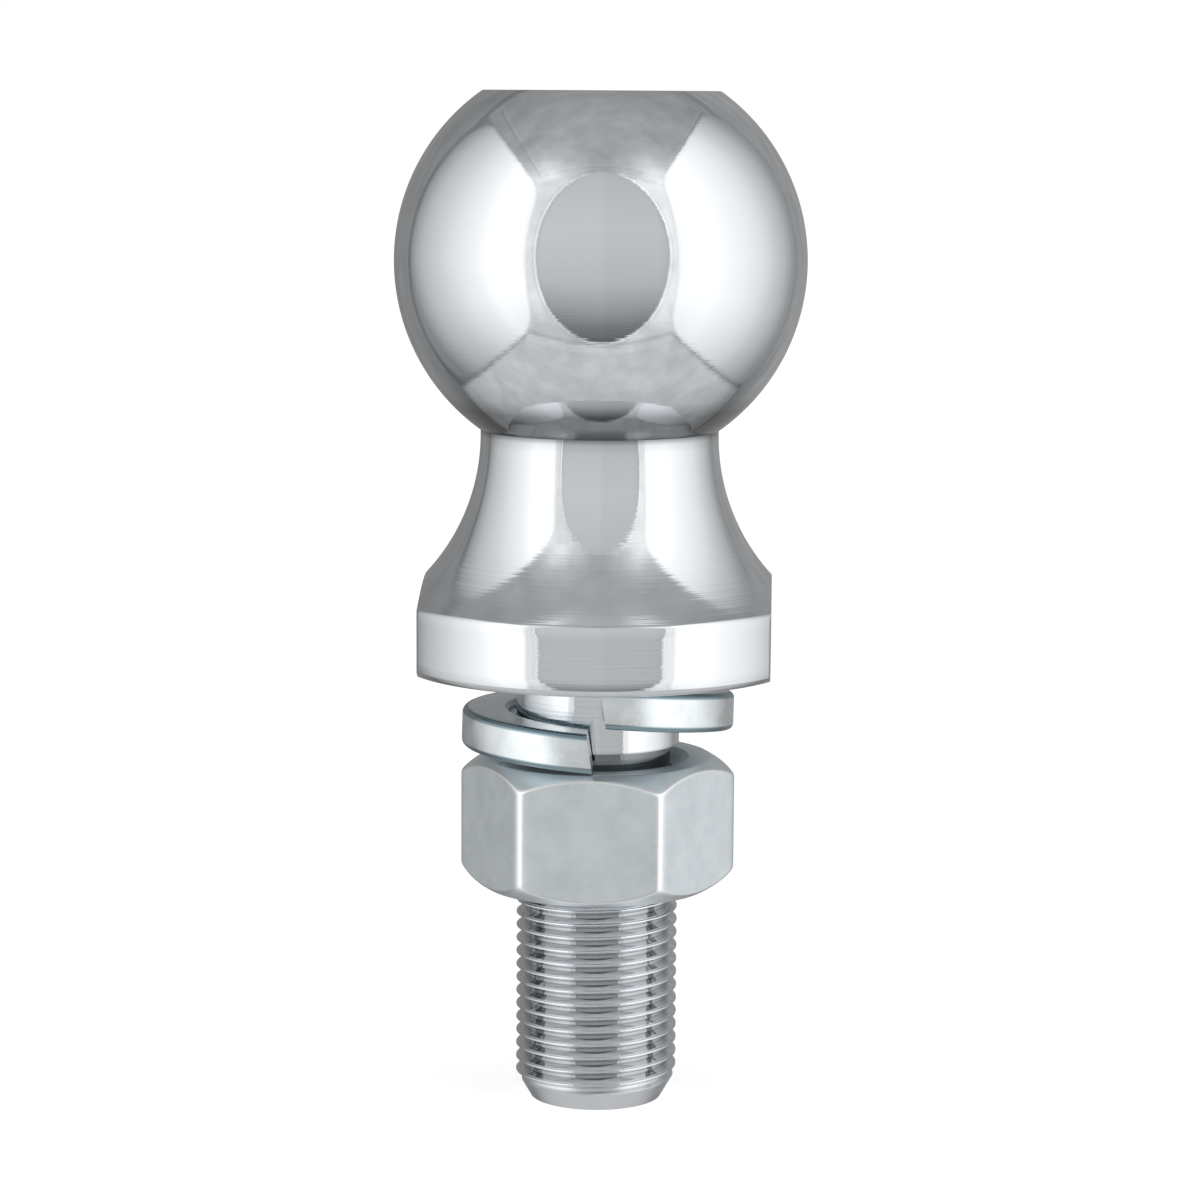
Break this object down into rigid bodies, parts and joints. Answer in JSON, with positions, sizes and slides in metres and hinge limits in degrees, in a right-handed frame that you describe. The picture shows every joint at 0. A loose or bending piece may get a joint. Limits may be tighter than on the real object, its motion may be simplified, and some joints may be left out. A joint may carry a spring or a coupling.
{
  "type": "threaded tow ball",
  "caption": "Steel tow ball forged in one with its neck, flange with wrench flats and threaded shank, fitted with a spring lock washer and a hexagon nut.",
  "frame": {"origin": "centre of the shank's lower end face, the lowest point of the part", "axes": "+Z along the shank, up towards the ball; the two wrench flats face -X and +X; the washer's split is at the front, towards -Y"},
  "size_m": [0.0476, 0.0476, 0.118],
  "materials": {
    "chrome_plated_steel": "turned and polished, bright chrome plate",
    "zinc_plated_washer": "bright zinc plate",
    "zinc_plated_nut": "satin zinc plate"
  },
  "bodies": {
    "ball_and_shank": {"tow_ball": "chrome_plated_steel"},
    "washer": {"spring_washer": "zinc_plated_washer"},
    "nut": {"hex_nut": "zinc_plated_nut"}
  },
  "joints": [
    {"name": "washer_slide", "type": "slide", "parent": "ball_and_shank", "child": "washer", "axis": [0, 0, -1], "range_m": [-0.0002, 0.02545]},
    {"name": "nut_turn", "type": "hinge", "parent": "washer", "child": "nut", "pos_m": [0, 0, 0.033], "axis": [0, 0, -1], "range_deg": [-36, 5760]}
  ],
  "couplings": [
    {"joint": "washer_slide", "follows": "nut_turn", "m_per_rad": 0.00025266}
  ]
}
